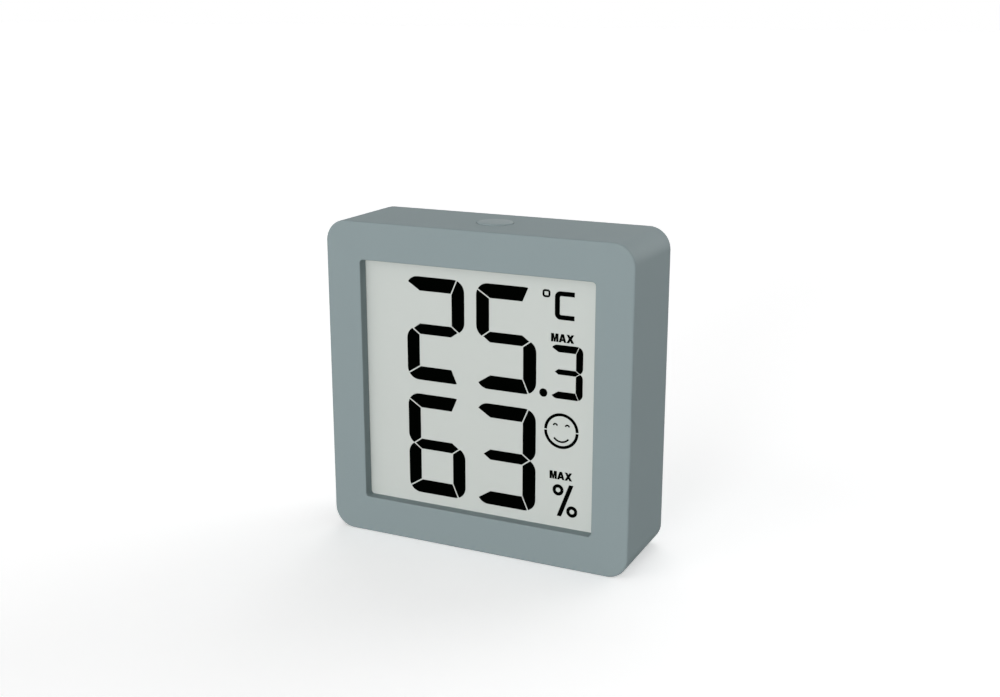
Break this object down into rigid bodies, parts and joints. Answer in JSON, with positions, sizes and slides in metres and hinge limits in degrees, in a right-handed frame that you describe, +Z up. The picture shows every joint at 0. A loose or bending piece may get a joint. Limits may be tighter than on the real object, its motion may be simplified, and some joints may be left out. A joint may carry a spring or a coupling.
{
  "type": "indoor thermometer",
  "caption": "Square free-standing room thermometer and hygrometer: moulded case, flush display, top push button, hooked battery door and keyhole in a screwed rear cover.",
  "frame": {"origin": "on the supporting surface, under the middle of the case", "axes": "+X to the right seen from the front, +Y from the front face to the back, +Z up"},
  "size_m": [0.06, 0.0184, 0.0604],
  "materials": {
    "case_plastic": "fine matt moulded ABS",
    "button_plastic": "fine matt moulded ABS",
    "lcd_film": "anti-glare polariser film",
    "lcd_segments": "darkened liquid crystal",
    "lcd_glass": "clear soda-lime glass",
    "reflector_film": "silvery satin film",
    "holder_plastic": "natural white ABS",
    "zebra_rubber": "layered silicone",
    "board_laminate": "green solder mask on glass epoxy",
    "epoxy_black": "potting epoxy",
    "switch_plastic": "black nylon",
    "sensor_white": "moulded sensor package",
    "chip_ceramic": "sintered ceramic with tinned ends",
    "tinned_steel": "bright tin or nickel plate",
    "screw_steel": "zinc plated",
    "cell_jacket": "printed shrink jacket, left plain",
    "wire_red": "PVC insulation",
    "wire_black": "PVC insulation"
  },
  "bodies": {
    "case": {"front_housing": "case_plastic", "lcd_front_polariser": "lcd_film", "lcd_front_glass": "lcd_glass", "lcd_rear_glass": "lcd_glass", "lcd_reflector": "reflector_film", "lcd_holder": "holder_plastic", "zebra_strip": "zebra_rubber", "circuit_board": "board_laminate", "controller_blob": "epoxy_black", "humidity_sensor": "sensor_white", "quartz_crystal": "tinned_steel", "chip_capacitors": "chip_ceramic", "chip_resistors": "switch_plastic", "top_switch_body": "switch_plastic", "unit_switch_body": "switch_plastic", "board_screws": "screw_steel", "rear_cover": "case_plastic", "cover_screws": "screw_steel", "battery_cell": "cell_jacket", "positive_contact": "tinned_steel", "negative_plate": "tinned_steel", "negative_spring": "tinned_steel", "positive_wire": "wire_red", "negative_wire": "wire_black"},
    "top_button": {"top_button": "button_plastic"},
    "top_switch_plunger": {"top_switch_plunger": "switch_plastic"},
    "unit_button": {"unit_button": "button_plastic"},
    "unit_switch_plunger": {"unit_switch_plunger": "switch_plastic"},
    "battery_door": {"battery_door": "case_plastic"}
  },
  "joints": [
    {"name": "top_button_press", "type": "slide", "parent": "case", "child": "top_button", "axis": [0, 0, -1], "range_m": [0, 0.0004], "stiffness_N_per_m": 2000, "springref_m": -0.0002},
    {"name": "top_switch_press", "type": "slide", "parent": "case", "child": "top_switch_plunger", "axis": [0, 0, -1], "range_m": [0, 0.0004]},
    {"name": "unit_button_press", "type": "slide", "parent": "case", "child": "unit_button", "axis": [0, -1, 0], "range_m": [0, 0.0004], "stiffness_N_per_m": 2000, "springref_m": -0.0002},
    {"name": "unit_switch_press", "type": "slide", "parent": "case", "child": "unit_switch_plunger", "axis": [0, -1, 0], "range_m": [0, 0.0004]},
    {"name": "battery_door_hinge", "type": "hinge", "parent": "case", "child": "battery_door", "pos_m": [0, 0.0092, 0.00765], "axis": [-1, 0, 0], "range_deg": [0, 80]}
  ],
  "couplings": [
    {"joint": "top_switch_press", "follows": "top_button_press", "ratio": 1},
    {"joint": "unit_switch_press", "follows": "unit_button_press", "ratio": 1}
  ]
}
